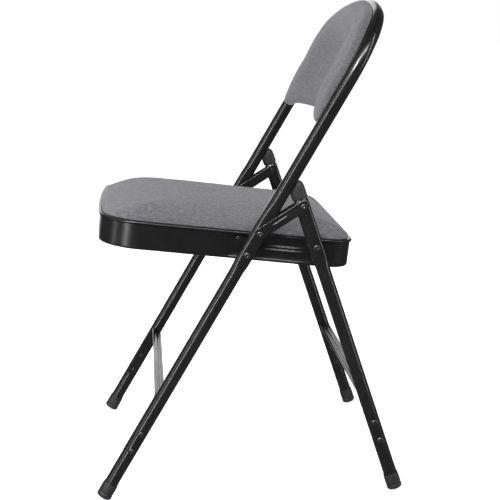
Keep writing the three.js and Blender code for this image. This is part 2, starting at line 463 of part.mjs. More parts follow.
// steel back panel behind the pad
{
  const mk = (d, k, n) => padLine.map((row) => {
    const [X0, S0] = padInset(row, d, d - 3), X = X0 + (0 - X0) * k, S = S0 + (padC[1] - S0) * k;
    return front(X, S, -5 - sag(X, S) + n);
  });
  const ks = [0, 0.3, 0.65];
  const f = ks.map((k) => mk(12, k, 0)), b = ks.map((k) => mk(12, k, -1.2));
  const n = f[0].length;
  const all = [...f.slice().reverse(), ...b];
  const pos = [front(0, padC[1], -5 - sag(0, padC[1])), ...all.flat(), front(0, padC[1], -6.2 - sag(0, padC[1]))], idx = [];
  for (let j = 0; j < n; j++) {
    const k = (j + 1) % n;
    idx.push(0, 1 + k, 1 + j);
    for (let i = 0; i < all.length - 1; i++) { const a = 1 + i * n, b2 = a + n; idx.push(a + j, a + k, b2 + k, a + j, b2 + k, b2 + j); }
    idx.push(1 + (all.length - 1) * n + j, 1 + (all.length - 1) * n + k, pos.length - 1);
  }
  const tools = [];
  const scr = [[-150, 760], [150, 760], [-120, 860], [120, 860]];
  for (const [x, s] of scr) {
    const o = -5 - sag(x, s);
    tools.push(place(lathe([[0, 0], [2.3, 0], [2.3, 12], [0, 12]], 12), front(x, s, o - 5), nF));
  }
  let panel = geo(pos, idx);
  add('backrest_panel', cut(panel, tools), BLACK);
  scr.forEach(([x, s], i) => {
    const o = -5 - sag(x, s);
    const g = place(lathe([[0, -1.9], [2.6, -1.8], [4, -0.6], [4, 0], [2, 0], [2, 1.4], [0, 1.6]], 12), front(x, s, o - 1.2 - 0.8), nF);
    add(`backrest_screw_${i + 1}`, g, STEEL, 0.35, 0.8);
  });
}

export default root;
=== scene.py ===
import math

import bmesh
import bpy
import numpy as np
from mathutils import Matrix, Vector


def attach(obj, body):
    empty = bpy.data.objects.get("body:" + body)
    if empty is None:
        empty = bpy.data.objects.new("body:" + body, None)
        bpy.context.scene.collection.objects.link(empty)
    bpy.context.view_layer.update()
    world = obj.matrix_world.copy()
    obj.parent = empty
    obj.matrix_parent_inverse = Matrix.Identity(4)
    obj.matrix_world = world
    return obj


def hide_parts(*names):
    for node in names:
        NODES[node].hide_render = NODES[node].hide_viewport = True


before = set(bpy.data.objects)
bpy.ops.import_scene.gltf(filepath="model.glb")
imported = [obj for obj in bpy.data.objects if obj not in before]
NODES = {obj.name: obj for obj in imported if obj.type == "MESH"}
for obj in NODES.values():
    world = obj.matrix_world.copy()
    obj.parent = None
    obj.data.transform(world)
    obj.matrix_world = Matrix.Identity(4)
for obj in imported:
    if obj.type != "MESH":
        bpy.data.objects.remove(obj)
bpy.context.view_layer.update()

MM = 0.001

# ------------------------------------------------------------------ camera
# the chair seen from the sitter's left, a little from in front and above
sc = bpy.context.scene
cam_data = bpy.data.cameras.new("camera")
cam_data.sensor_width = 36.0
cam_data.lens = 82.05
cam = bpy.data.objects.new("camera", cam_data)
sc.collection.objects.link(cam)
cam.location = (1.9981, -0.16426, 0.782)
YAW, PITCH = 0.0911, -0.2030
fwd = Vector((-math.cos(PITCH) * math.cos(YAW), math.cos(PITCH) * math.sin(YAW), math.sin(PITCH)))
cam.rotation_mode = "QUATERNION"
cam.rotation_quaternion = fwd.to_track_quat("-Z", "Y")
cam_data.clip_start, cam_data.clip_end = 0.05, 50
sc.camera = cam

# ------------------------------------------------------------------ frames of reference (mm)
FRONT_Y0, FRONT_A = -247.61, math.radians(59.53)
REAR_Y0, REAR_A = 244.45, math.radians(108.5)
TILT, SEAT_Z, SEAT_Y0 = math.radians(6.5), 440.3, -2.26
FC, FS, RC, RS = math.cos(FRONT_A), math.sin(FRONT_A), math.cos(REAR_A), math.sin(REAR_A)
CT, ST = math.cos(TILT), math.sin(TILT)


def P_front(x, s, n=0.0):
    return np.stack(np.broadcast_arrays(x, FRONT_Y0 + s * FC - n * FS, s * FS + n * FC), -1).astype(float)


def P_rear(x, q, n=0.0):
    return np.stack(np.broadcast_arrays(x, REAR_Y0 + q * RC + n * RS, q * RS - n * RC), -1).astype(float)


def P_seat(x, t, h=0.0):
    return np.stack(np.broadcast_arrays(x, SEAT_Y0 + t * CT + h * ST, SEAT_Z - t * ST + h * CT), -1).astype(float)


def smooth(a, b, v):
    t = np.clip((np.asarray(v, float) - a) / (b - a), 0, 1)
    return t * t * (3 - 2 * t)


# ------------------------------------------------------------------ materials
def new_mat(name):
    m = bpy.data.materials.new(name)
    m.use_nodes = True
    nt = m.node_tree
    nt.nodes.clear()
    out = nt.nodes.new("ShaderNodeOutputMaterial")
    b = nt.nodes.new("ShaderNodeBsdfPrincipled")
    nt.links.new(b.outputs[0], out.inputs[0])
    return m, nt, b


def N(nt, kind, **props):
    n = nt.nodes.new(kind)
    for k, v in props.items():
        setattr(n, k, v)
    return n


def coords(nt, scale=(1, 1, 1), rot=(0, 0, 0)):
    tc = N(nt, "ShaderNodeTexCoord")
    mp = N(nt, "ShaderNodeMapping")
    mp.inputs["Scale"].default_value = scale
    mp.inputs["Rotation"].default_value = rot
    nt.links.new(tc.outputs["Object"], mp.inputs["Vector"])
    return mp.outputs["Vector"]


def noise(nt, vec, scale, detail=2.0, rough=0.5, dist=0.0):
    n = N(nt, "ShaderNodeTexNoise")
    n.inputs["Scale"].default_value = scale
    n.inputs["Detail"].default_value = detail
    n.inputs["Roughness"].default_value = rough
    n.inputs["Distortion"].default_value = dist
    nt.links.new(vec, n.inputs["Vector"])
    return n.outputs["Fac"]


def ramp(nt, fac, stops):
    r = N(nt, "ShaderNodeValToRGB")
    e = r.color_ramp.elements
    while len(e) > len(stops):
        e.remove(e[-1])
    while len(e) < len(stops):
        e.new(0.5)
    for i, (p, c) in enumerate(stops):
        e[i].position = p
        e[i].color = (*c, 1) if len(c) == 3 else c
    nt.links.new(fac, r.inputs["Fac"])
    return r.outputs["Color"]


def math_node(nt, op, a, b=None, c=None):
    n = N(nt, "ShaderNodeMath", operation=op)
    for i, v in enumerate((a, b, c)):
        if v is None:
            continue
        if isinstance(v, (int, float)):
            n.inputs[i].default_value = v
        else:
            nt.links.new(v, n.inputs[i])
    return n.outputs[0]


def maprange(nt, v, a, b, c, d):
    n = N(nt, "ShaderNodeMapRange")
    for i, x in enumerate((a, b, c, d)):
        n.inputs[1 + i].default_value = x
    nt.links.new(v, n.inputs[0])
    return n.outputs[0]


def mix_rgb(nt, fac, a, b, mode="MIX"):
    n = N(nt, "ShaderNodeMix", data_type="RGBA", blend_type=mode)
    for sock, v in ((n.inputs[0], fac), (n.inputs[6], a), (n.inputs[7], b)):
        if isinstance(v, (int, float)):
            sock.default_value = v
        elif isinstance(v, tuple):
            sock.default_value = (*v, 1)
        else:
            nt.links.new(v, sock)
    return n.outputs[2]


def bump(nt, height, strength, dist, bsdf, prev=None):
    n = N(nt, "ShaderNodeBump")
    n.inputs["Strength"].default_value = strength
    n.inputs["Distance"].default_value = dist
    nt.links.new(height, n.inputs["Height"])
    if prev is not None:
        nt.links.new(prev, n.inputs["Normal"])
    nt.links.new(n.outputs[0], bsdf.inputs["Normal"])
    return n.outputs[0]


def mat_powder(name="black_powder_coat", base=0.0105, rough=0.21):
    m, nt, b = new_mat(name)
    v = coords(nt)
    fine = noise(nt, v, 900, 2, 0.55)
    orange = noise(nt, v, 260, 2, 0.5)
    cloud = noise(nt, v, 14, 3, 0.6)
    col = ramp(nt, cloud, [(0.3, (base * 0.85, base * 0.84, base * 0.83)), (0.75, (base * 1.25, base * 1.22, base * 1.2))])
    speck = maprange(nt, fine, 0.7, 0.82, 0.0, 0.06)
    col = mix_rgb(nt, speck, col, (base * 3.2, base * 3.2, base * 3.3))
    nt.links.new(col, b.inputs["Base Color"])
    r = math_node(nt, "ADD", maprange(nt, cloud, 0.3, 0.75, rough - 0.03, rough + 0.05), maprange(nt, fine, 0.3, 0.7, -0.02, 0.03))
    nt.links.new(r, b.inputs["Roughness"])
    b.inputs["Specular IOR Level"].default_value = 0.5
    h = math_node(nt, "ADD", math_node(nt, "MULTIPLY", orange, 0.7), math_node(nt, "MULTIPLY", fine, 0.3))
    bump(nt, h, 0.005, 0.0002, b)
    return m


def mat_fastener(name="black_fasteners"):
    m, nt, b = new_mat(name)
    v = coords(nt)
    n1 = noise(nt, v, 700, 3, 0.6)
    col = ramp(nt, n1, [(0.35, (0.05, 0.05, 0.05)), (0.8, (0.11, 0.11, 0.115))])
    nt.links.new(col, b.inputs["Base Color"])
    b.inputs["Metallic"].default_value = 0.75
    nt.links.new(maprange(nt, n1, 0.3, 0.8, 0.15, 0.24), b.inputs["Roughness"])
    bump(nt, n1, 0.04, 0.0003, b)
    return m


def mat_plastic(name="black_plastic"):
    m, nt, b = new_mat(name)
    v = coords(nt)
    grain = noise(nt, v, 1500, 2, 0.6)
    cloud = noise(nt, v, 40, 2, 0.5)
    col = ramp(nt, cloud, [(0.3, (0.017, 0.017, 0.018)), (0.75, (0.026, 0.026, 0.027))])
    nt.links.new(col, b.inputs["Base Color"])
    nt.links.new(maprange(nt, grain, 0.3, 0.7, 0.42, 0.56), b.inputs["Roughness"])
    b.inputs["Specular IOR Level"].default_value = 0.5
    bump(nt, grain, 0.25, 0.0003, b)
    return m


def mat_rubber(name="rubber_feet"):
    m, nt, b = new_mat(name)
    v = coords(nt)
    grain = noise(nt, v, 1100, 3, 0.6)
    dust = noise(nt, v, 90, 4, 0.65)
    col = ramp(nt, dust, [(0.35, (0.012, 0.012, 0.012)), (0.8, (0.03, 0.03, 0.03))])
    nt.links.new(col, b.inputs["Base Color"])
    nt.links.new(maprange(nt, dust, 0.3, 0.7, 0.5, 0.68), b.inputs["Roughness"])
    bump(nt, grain, 0.3, 0.0003, b)
    return m


def mat_wood(name="plywood"):
    m, nt, b = new_mat(name)
    v = coords(nt, (1, 9, 1))
    grain = noise(nt, v, 16, 6, 0.65, 0.8)
    fine = noise(nt, coords(nt, (1, 22, 1)), 90, 3, 0.6)
    col = ramp(nt, grain, [(0.3, (0.36, 0.23, 0.12)), (0.55, (0.52, 0.36, 0.2)), (0.8, (0.62, 0.46, 0.28))])
    col = mix_rgb(nt, maprange(nt, fine, 0.5, 0.75, 0.0, 0.5), col, (0.27, 0.17, 0.09))
    nt.links.new(col, b.inputs["Base Color"])
    b.inputs["Roughness"].default_value = 0.7
    bump(nt, fine, 0.3, 0.0004, b)
    return m


def mat_fabric(name="fabric_cover", rot=(0, 0, 0), painted_light_gain=1.0):
    """Heathered plain weave: fine warp and weft, irregular slubs, and a soft fibre sheen. The gain scales every colour,
    so copies made with different gains carry painted light.
    """
    m, nt, b = new_mat(name)
    v = coords(nt, rot=rot)
    wob = noise(nt, v, 160, 2, 0.5)
    warp = N(nt, "ShaderNodeTexWave", wave_type="BANDS", bands_direction="X", wave_profile="SIN")
    weft = N(nt, "ShaderNodeTexWave", wave_type="BANDS", bands_direction="Y", wave_profile="SIN")
    for w, sc_ in ((warp, 330.0), (weft, 330.0)):
        w.inputs["Scale"].default_value = sc_
        w.inputs["Distortion"].default_value = 1.6
        w.inputs["Detail"].default_value = 1.0
        w.inputs["Detail Scale"].default_value = 1.2
        nt.links.new(v, w.inputs["Vector"])
    weave = math_node(nt, "MULTIPLY", warp.outputs["Fac"], weft.outputs["Fac"])
    # slubs: noise stretched along each yarn direction
    sl1 = noise(nt, coords(nt, (1, 0.2, 1), rot), 430, 3, 0.65)
    sl2 = noise(nt, coords(nt, (0.2, 1, 1), rot), 430, 3, 0.65)
    heather = math_node(nt, "ADD", math_node(nt, "MULTIPLY", sl1, 0.55), math_node(nt, "MULTIPLY", sl2, 0.45))
    cloud = noise(nt, v, 60, 4, 0.6)
    mott = noise(nt, v, 210, 2, 0.6)
    d, l = 0.088 * painted_light_gain, 0.265 * painted_light_gain
    col = ramp(nt, heather, [(0.35, (d, d, d * 1.1)), (0.5, (0.163 * painted_light_gain, 0.165 * painted_light_gain, 0.180 * painted_light_gain)), (0.65, (l, l, l * 1.07))])
    col = mix_rgb(nt, maprange(nt, weave, 0.0, 0.6, 0.30, 0.0), col, (d * 0.75, d * 0.75, d * 0.82))
    col = mix_rgb(nt, maprange(nt, cloud, 0.35, 0.7, 0.0, 0.12), col, (l, l, l * 1.05))
    col = mix_rgb(nt, maprange(nt, mott, 0.5, 0.68, 0.0, 0.42), col, (d, d, d * 1.08))
    nt.links.new(col, b.inputs["Base Color"])
    b.inputs["Roughness"].default_value = 0.92
    b.inputs["Specular IOR Level"].default_value = 0.25
    b.inputs["Sheen Weight"].default_value = 0.22
    b.inputs["Sheen Roughness"].default_value = 0.45
    h = math_node(nt, "ADD", math_node(nt, "MULTIPLY", weave, 0.5), math_node(nt, "MULTIPLY", heather, 0.8))
    bump(nt, h, 0.55, 0.0007, b)
    return m


POWDER, FAST, PLASTIC, RUBBER, WOOD = mat_powder(), mat_fastener(), mat_plastic(), mat_rubber(), mat_wood()
# one cover fabric in two copies: the seat copy is brightened and the back copy darkened, painted light for the lit seat
# top and the shaded backrest
FAB_SEAT = mat_fabric("fabric_seat_painted_lighter", painted_light_gain=1.28)
FAB_BACK = mat_fabric("fabric_back_painted_darker", rot=(-FRONT_A, 0, 0), painted_light_gain=0.86)

for name, o in NODES.items():
    if "cushion" in name:
        mat = FAB_SEAT if name.startswith("seat") else FAB_BACK
    elif name == "seat_board":
        mat = WOOD
    elif "foot" in name:
        mat = RUBBER
    elif "cap" in name or "spacer" in name:
        mat = PLASTIC
    elif "rivet" in name or "screw" in name:
        mat = FAST
    else:
        mat = POWDER
    o.data.materials.clear()
    o.data.materials.append(mat)

# smooth shading on the carried-over pieces, sharp only at real corners
for o in NODES.values():
    mod = o.modifiers.new("weld", "WELD")
    mod.merge_threshold = 0.00002
    for p in o.data.polygons:
        p.use_smooth = True
    es = o.modifiers.new("corners", "EDGE_SPLIT")
    es.split_angle = math.radians(32)


def add_mesh(name, verts, faces, mat=None, smooth_shade=True):
    me = bpy.data.meshes.new(name)
    me.from_pydata([tuple(v) for v in verts], [], [tuple(int(i) for i in f) for f in faces])
    me.update()
    o = bpy.data.objects.new(name, me)
    sc.collection.objects.link(o)
    if smooth_shade:
        for p in me.polygons:
            p.use_smooth = True
    if mat:
        me.materials.append(mat)
    return o



# ------------------------------------------------------------------ mesh helpers
def clean(me, sharp=32.0):
    """Faces pointing out, doubles merged, edges sharper than the angle marked."""
    bm = bmesh.new()
    bm.from_mesh(me)
    bmesh.ops.remove_doubles(bm, verts=bm.verts, dist=1e-6)
    bmesh.ops.recalc_face_normals(bm, faces=bm.faces)
    lim = math.radians(sharp)
    for e in bm.edges:
        e.smooth = len(e.link_faces) == 2 and e.calc_face_angle(0) < lim
    for f in bm.faces:
        f.smooth = True
    bm.to_mesh(me)
    bm.free()
    me.update()


def piece(name, verts_mm, faces, mat, body, nodes, sharp=32.0, bevel=0.0, segments=2, sub=0):
    o = add_mesh(name, np.asarray(verts_mm, float) * MM, faces, mat)
    clean(o.data, sharp)
    if bevel:
        b = o.modifiers.new("bevel", "BEVEL")
        b.width, b.segments, b.limit_method, b.angle_limit = bevel * MM, segments, "ANGLE", math.radians(35)
        b.harden_normals = True
    if sub:
        m = o.modifiers.new("sub", "SUBSURF")
        m.levels = m.render_levels = sub
    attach(o, body)
    if nodes:
        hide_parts(*nodes)
    return o


def loft(rings, wrap=False, caps=True):
    """rings (m, n, 3): quads between neighbouring rings; n-gon ends unless the last ring joins the first."""
    rings = np.asarray(rings, float)
    m, n = rings.shape[:2]
    faces = []
    for i in range(m if wrap else m - 1):
        a, b = i * n, ((i + 1) % m) * n
        faces += [(a + j, a + (j + 1) % n, b + (j + 1) % n, b + j) for j in range(n)]
    if not wrap and caps:
        faces += [tuple(range(n)), tuple((m - 1) * n + j for j in range(n))]
    return rings.reshape(-1, 3), faces


def lathe(profile, seg=40, rx=1.0):
    """Solid of revolution about +z from a profile of (r, z); a point with r = 0 is a pole."""
    verts, faces, start = [], [], []
    for r, z in profile:
        start.append(len(verts))
        if r < 1e-6:
            verts.append((0, 0, z))
        else:
            verts += [(rx * r * math.cos(2 * math.pi * j / seg), r * math.sin(2 * math.pi * j / seg), z) for j in range(seg)]
    closed = profile[0][0] > 1e-6
    for i in range(len(profile) - (0 if closed else 1)):
        i2 = (i + 1) % len(profile)
        a, b = start[i], start[i2]
        p1, p2 = profile[i][0] < 1e-6, profile[i2][0] < 1e-6
        for j in range(seg):
            k = (j + 1) % seg
            if p1 and p2:
                continue
            if p1:
                faces.append((a, b + j, b + k))
            elif p2:
                faces.append((a + j, b, a + k))
            else:
                faces.append((a + j, b + j, b + k, a + k))
    return np.array(verts, float), faces


def rounded(points, r=0.6, n=3):
    """Round the corners of an open polyline of (r, z) points."""
    out = [points[0]]
    for p0, p1, p2 in zip(points[:-2], points[1:-1], points[2:]):
        a, b, c = np.array(p0, float), np.array(p1, float), np.array(p2, float)
        d1, d2 = a - b, c - b
        l1, l2 = np.linalg.norm(d1), np.linalg.norm(d2)
        if l1 < 1e-9 or l2 < 1e-9:
            continue
        k = min(r, 0.45 * l1, 0.45 * l2)
        s, e = b + d1 / l1 * k, b + d2 / l2 * k
        for i in range(n + 1):
            t = i / n
            q = (1 - t) ** 2 * s + 2 * t * (1 - t) * b + t * t * e
            out.append((float(q[0]), float(q[1])))
    out.append(points[-1])
    return out


def along(v, origin, z_dir, x_dir=None):
    """Move vertices made about +z so that +z runs along z_dir with the origin at origin."""
    z = np.array(z_dir, float) / np.linalg.norm(z_dir)
    x = np.array([1.0, 0, 0]) if x_dir is None else np.array(x_dir, float)
    x = x - z * x.dot(z)
    if np.linalg.norm(x) < 1e-6:
        x = np.array([0, 1.0, 0]) - z * z[1]
    x /= np.linalg.norm(x)
    y = np.cross(z, x)
    return np.asarray(origin, float) + v[:, :1] * x + v[:, 1:2] * y + v[:, 2:] * z


def flip_x(v):
    w = np.array(v, float)
    w[:, 0] *= -1
    return w


SIDES = ((1, "left"), (-1, "right"))

# ------------------------------------------------------------------ driving numbers (mm)
TUBE_R, HALF_W = 11.1, 221.0
FLAT_X, FLAT_N = 9.9, 12.2
HOOP_BEND, HOOP_R1, HOOP_A1 = 795.0, 118.0, math.radians(75)
A_S, B_S, D_Q, C_Q = 473.0, 513.0, 440.7, 512.1
PT_A, PT_B, PT_D, PT_C = (P_front(0, A_S), P_front(0, B_S), P_rear(0, D_Q), P_rear(0, C_Q))
U_FRONT, N_FRONT = np.array([0, FC, FS]), np.array([0, -FS, FC])
U_REAR, N_REAR = np.array([0, RC, RS]), np.array([0, RS, -RC])
R2 = (HALF_W - HOOP_R1 * (1 - math.cos(HOOP_A1))) / math.sin(math.pi / 2 - HOOP_A1)


def hoop(from_s, step=12.0, fine=True):
    """Half the hoop from the +x leg to the centre: rows of (x, s, angle of the path)."""
    rows = []
    n = max(2, int(round((HOOP_BEND - from_s) / step)))
    for i in range(n + 1):
        rows.append((HALF_W, from_s + (HOOP_BEND - from_s) * i / n, math.pi / 2))
    k1, k2 = (20, 12) if fine else (10, 5)
    for i in range(1, k1 + 1):
        a = HOOP_A1 * i / k1
        rows.append((HALF_W - HOOP_R1 * (1 - math.cos(a)), HOOP_BEND + HOOP_R1 * math.sin(a), math.pi / 2 + a))
    x0, s0 = rows[-1][:2]
    cs = s0 - R2 * math.sin(HOOP_A1)
    for i in range(1, k2 + 1):
        a = HOOP_A1 + (math.pi / 2 - HOOP_A1) * i / k2
        rows.append((R2 * math.cos(a), cs + R2 * math.sin(a), math.pi / 2 + a))
    return rows


def tube_ring(p, side, up, f, neck=0.0, seg=48):
    """Tube section; f runs from round (0) to pressed flat (1)."""
    hx = TUBE_R + (FLAT_X - TUBE_R) * f
    hn = TUBE_R + (FLAT_N - TUBE_R) * f
    hx, hn = hx + (8.2 - hx) * neck, hn + (10.6 - hn) * neck
    a = np.linspace(0, 2 * math.pi, seg, endpoint=False)
    e = 1 - 0.22 * f * (1 - neck)
    c, s = np.cos(a), np.sin(a)
    c, s = np.sign(c) * np.abs(c) ** e, np.sign(s) * np.abs(s) ** e
    return p + np.outer(hx * c, side) + np.outer(hn * s, up)


# ------------------------------------------------------------------ tubes
def front_tube():
    half = hoop(9.8)
    whole = half + [(-x, s, 2 * math.pi - a) for x, s, a in reversed(half[:-1])]
    rings = []
    for x, s, a in whole:
        side = np.array([math.cos(a - math.pi / 2), FC * math.sin(a - math.pi / 2), FS * math.sin(a - math.pi / 2)])
        f = float(smooth(440, 461, s) * (1 - smooth(546, 567, s))) if s < 700 else 0.0
        rings.append(tube_ring(P_front(x, s), side, N_FRONT, f))
    v, f = loft(rings)
    piece("front_frame_tube_bent", v, f, POWDER, "front_frame", ["front_frame_tube"])


def rear_legs():
    qs = np.concatenate([np.linspace(7.3, 395, 34), np.linspace(398, 430, 12), np.linspace(440, 515, 9), np.linspace(518, 524, 5), [535.2]])
    rings = [tube_ring(P_rear(HALF_W, q), np.array([1.0, 0, 0]), N_REAR, float(smooth(402, 425, q)), float(smooth(518.5, 523.5, q))) for q in qs]
    v, f = loft(rings)
    for k, tag in SIDES:
        piece(f"rear_leg_tube_{tag}_pressed", v if k > 0 else flip_x(v), f, POWDER, "rear_legs", [f"rear_leg_tube_{tag}"])


front_tube()
rear_legs()


# ------------------------------------------------------------------ feet and caps
def cut_plane(o, co_mm, no, bevel_mm=0.0):
    bm = bmesh.new()
    bm.from_mesh(o.data)
    res = bmesh.ops.bisect_plane(bm, geom=bm.verts[:] + bm.edges[:] + bm.faces[:], plane_co=Vector(co_mm) * MM, plane_no=Vector(no), clear_outer=True)
    edges = [e for e in res["geom_cut"] if isinstance(e, bmesh.types.BMEdge)]
    bmesh.ops.edgeloop_fill(bm, edges=edges)
    bm.to_mesh(o.data)
    bm.free()


foot_prof = rounded([(0, 0), (9.2, 0), (12.3, 1.4), (12.5, 3.6), (12.5, 7.4), (11.9, 8.2), (11.9, 9.4), (12.5, 10.2), (12.5, 20), (12.2, 26), (11.9, 27), (11.25, 27.2), (11.2, 24)], 0.7) + [(0, 24)]
for base, leg, body, point, direction in (("front_foot", "front", "front_frame", P_front(HALF_W, 4.5), U_FRONT), ("rear_foot", "rear", "rear_legs", P_rear(HALF_W, 2.0), U_REAR)):
    fv, ff = lathe(foot_prof, 48)
    fv = along(fv, point, direction)
    for k, tag in SIDES:
        o = piece(f"{leg}_foot_{tag}_moulded", fv if k > 0 else flip_x(fv), ff, RUBBER, body, [f"{base}_{tag}"], sharp=50)
        cut_plane(o, (0, 0, 0), (0, 0, -1))
        clean(o.data, 50)

cap_prof = rounded([(0, 30), (4, 29.7), (8, 28.2), (10.8, 25.2), (12.3, 20.5), (12.7, 15), (12.7, 0.9), (12.2, 0), (10.9, 0), (10.9, 6)], 1.2, 4) + [(0, 6)]
cv, cf = lathe(cap_prof, 56, FLAT_X / 12.7)
cv = along(cv, P_rear(HALF_W, 524.25), U_REAR)
for k, tag in SIDES:
    o = piece(f"rear_leg_cap_{tag}_moulded", cv if k > 0 else flip_x(cv), cf, PLASTIC, "rear_legs", [f"rear_leg_cap_{tag}"], sharp=40)
    p = P_front(0, 0, -(TUBE_R + 0.3))
    cut_plane(o, p, N_FRONT)
    clean(o.data, 40)
    b = o.modifiers.new("bevel", "BEVEL")
    b.width, b.segments, b.limit_method, b.angle_limit = 0.0012, 3, "ANGLE", math.radians(35)


# ------------------------------------------------------------------ rivets: domed heads with a small set mark
def rivet(name, body, p, x_in, x_out, r, ro, ho, ri, hi, nodes_base, both_ends=True):
    L = x_out - x_in
    head = [(r, L), (ro, L), (ro, L + ho * 0.22), (ro * 0.93, L + ho * 0.5), (ro * 0.78, L + ho * 0.8), (ro * 0.58, L + ho * 0.97), (ro * 0.42, L + ho), (ro * 0.3, L + ho * 0.93), (ro * 0.2, L + ho * 0.78), (0, L + ho * 0.74)]
    tail = [(0, -hi * 0.8), (ri * 0.3, -hi * 0.85), (ri * 0.5, -hi), (ri * 0.8, -hi * 0.8), (ri, -hi * 0.3), (ri, 0), (r, 0)] if both_ends else [(0, 0), (r, 0)]
    v, f = lathe(tail + head, 32)
    v = along(v, (x_in, p[1], p[2]), (1, 0, 0))
    for k, tag in SIDES:
        piece(f"{name}_{tag}_set", v if k > 0 else flip_x(v), f, FAST, body, [f"{nodes_base}_{tag}"], sharp=45)


X_OUT, X_FLAT, X_IN = HALF_W + TUBE_R + 0.3, HALF_W + FLAT_X + 0.3, HALF_W - FLAT_X - 0.3
SHEET, SEAT_HW = 1.2, 201.5
PAN_IN = SEAT_HW - 2 - SHEET
PIV_IN = PAN_IN - 0.6 - 2
BR_X, BR_T = HALF_W - TUBE_R - 0.3, 1.6
BRACE_F, BRACE_R = (98.6, 131.1), (94.9, 127.6)
rivet("front_pivot_rivet", "seat", PT_A, PIV_IN, X_FLAT, 4, 5.6, 3.2, 5.6, 2.4, "front_pivot_rivet")
rivet("rear_pivot_rivet", "seat", PT_D, PIV_IN, X_FLAT, 4, 5.6, 3.2, 5.6, 2.4, "rear_pivot_rivet")
for base, fr, list_, body in (("front_brace_rivet", P_front, BRACE_F, "front_frame"), ("rear_brace_rivet", P_rear, BRACE_R, "rear_legs")):
    for s_, lab in zip(list_, ("lower", "upper")):
        rivet(f"{base}_{lab}", body, fr(0, s_), BR_X - BR_T - 0.3, X_OUT, 3, 5.2, 2.6, 4.6, 2, f"{base}_{lab}")
for lab, t_ in (("front", -15.2), ("rear", 121.0)):
    rivet(f"seat_bracket_rivet_{lab}", "seat", P_seat(0, t_, -12.2), PIV_IN, SEAT_HW - 2 + 0.3, 2, 3.4, 1.3, 3.2, 1.3, f"seat_bracket_rivet_{lab}")
PLATE_T, PLATE_R = 2.0, 8.8
for k, tag in SIDES:
    bodyn = f"hinge_link_{tag}"
    for nm, p, x0, x1, ro, ri in (("link_front_rivet", PT_B, X_IN - PLATE_T - 0.3, X_FLAT + PLATE_T + 0.3, 5.4, 5.2),):
        L = x1 - x0
        v, f = lathe([(0, -1.5), (2, -1.6), (3, -1.8), (4.6, -1.3), (5.2, -0.4), (5.2, 0), (4, 0), (4, L), (ro, L), (ro, L + 0.7), (ro * 0.93, L + 1.5), (ro * 0.78, L + 2.4), (ro * 0.58, L + 2.9), (ro * 0.42, L + 3), (ro * 0.3, L + 2.8), (ro * 0.2, L + 2.3), (0, L + 2.2)], 32)
        v = along(v, (x0, p[1], p[2]), (1, 0, 0))
        piece(f"{nm}_{tag}_set", v if k > 0 else flip_x(v), f, FAST, bodyn, [f"{nm}_{tag}"], sharp=45)
    L = PLATE_T + 0.3
    v, f = lathe([(0, 0), (4, 0), (4, L), (5.2, L), (5.2, L + 0.7), (4.85, L + 1.5), (4.1, L + 2.4), (3.0, L + 2.9), (2.2, L + 3), (1.5, L + 2.8), (1.0, L + 2.3), (0, L + 2.2)], 32)
    v = along(v, (X_FLAT, PT_C[1], PT_C[2]), (1, 0, 0))
    piece(f"link_rear_rivet_outer_{tag}_set", v if k > 0 else flip_x(v), f, FAST, bodyn, [f"link_rear_rivet_outer_{tag}"], sharp=45)


# ------------------------------------------------------------------ hinge plates: stadium outline, pressed bead, set ring round each rivet
def hinge_plate(x_face, outer):
    bc = PT_C - PT_B
    L = float(np.linalg.norm(bc))
    u = bc / L
    w = np.array([0, -u[2], u[1]])
    n = 112
    line = []
    for i in range(n):  # walk round the stadium at even spacing
        per = 2 * L + 2 * math.pi * PLATE_R
        d = per * i / n
        if d < math.pi * PLATE_R:
            a = -math.pi / 2 + d / PLATE_R
            line.append((L + PLATE_R * math.cos(a), PLATE_R * math.sin(a), min(max(L, 0), L)))
        elif d < math.pi * PLATE_R + L:
            q = d - math.pi * PLATE_R
            line.append((L - q, PLATE_R, L - q))
        elif d < 2 * math.pi * PLATE_R + L:
            a = math.pi / 2 + (d - math.pi * PLATE_R - L) / PLATE_R
            line.append((PLATE_R * math.cos(a), PLATE_R * math.sin(a), 0.0))
        else:
            q = d - 2 * math.pi * PLATE_R - L
            line.append((q, -PLATE_R, q))
    line = np.array(line)

    def relief(a, b):
        bead = np.maximum(0, 1 - (np.hypot(np.clip(np.abs(a - 38.5) - 13.5, 0, None), b) / 2.1) ** 2)
        dimple = np.maximum(0, 1 - (np.hypot(a - 57.5, b - 1.0) / 1.9) ** 2)
        ring = sum(np.exp(-((np.hypot(a - c, b) - 6.6) / 0.75) ** 2) for c in (0.0, L))
        return 0.9 * bead + 0.8 * dimple + 0.45 * ring

    rings = []
    for side_h, seq in ((0.0, np.linspace(1, 0.06, 15)), (PLATE_T, np.linspace(0.06, 1, 15))):
        for s_ in seq:
            a = line[:, 2] + (line[:, 0] - line[:, 2]) * s_
            b = line[:, 1] * s_
            h = np.full(n, side_h)
            if outer:
                h = h + relief(a, b) * (1 if side_h else 1)
            edge = 0.55 if s_ > 0.985 else 0.0
            h = h + (edge if side_h == 0 else -edge)
            rings.append((np.outer(a, u) + np.outer(b, w) + PT_B) + np.outer(h + x_face, [1, 0, 0]))
    v, f = loft(rings[::-1], wrap=False, caps=False)
    m = len(rings)
    # close the rim and both centre lines
    f = list(f)
    base0, base1 = 0, (m - 1) * n
    f = [q for q in f]
    half = 15
    drop = set(range((half - 1) * n, half * n))  # the band joining the two centre rings
    f = [q for i, q in enumerate(f) if i not in drop]
    f += [(base0 + j, base0 + (j + 1) % n, base1 + (j + 1) % n, base1 + j) for j in range(n)]
    for r in (half - 1, half):
        f.append(tuple(r * n + j for j in range(n)))
    return v, f


for k, tag in SIDES:
    v, f = hinge_plate(X_FLAT, True)
    piece(f"hinge_plate_outer_{tag}_pressed", v if k > 0 else flip_x(v), f, POWDER, f"hinge_link_{tag}", [f"hinge_plate_outer_{tag}"], sharp=60)
    v, f = hinge_plate(X_IN - PLATE_T, False)
    piece(f"hinge_plate_inner_{tag}_pressed", v if k > 0 else flip_x(v), f, POWDER, f"hinge_link_{tag}", [f"hinge_plate_inner_{tag}"], sharp=60)


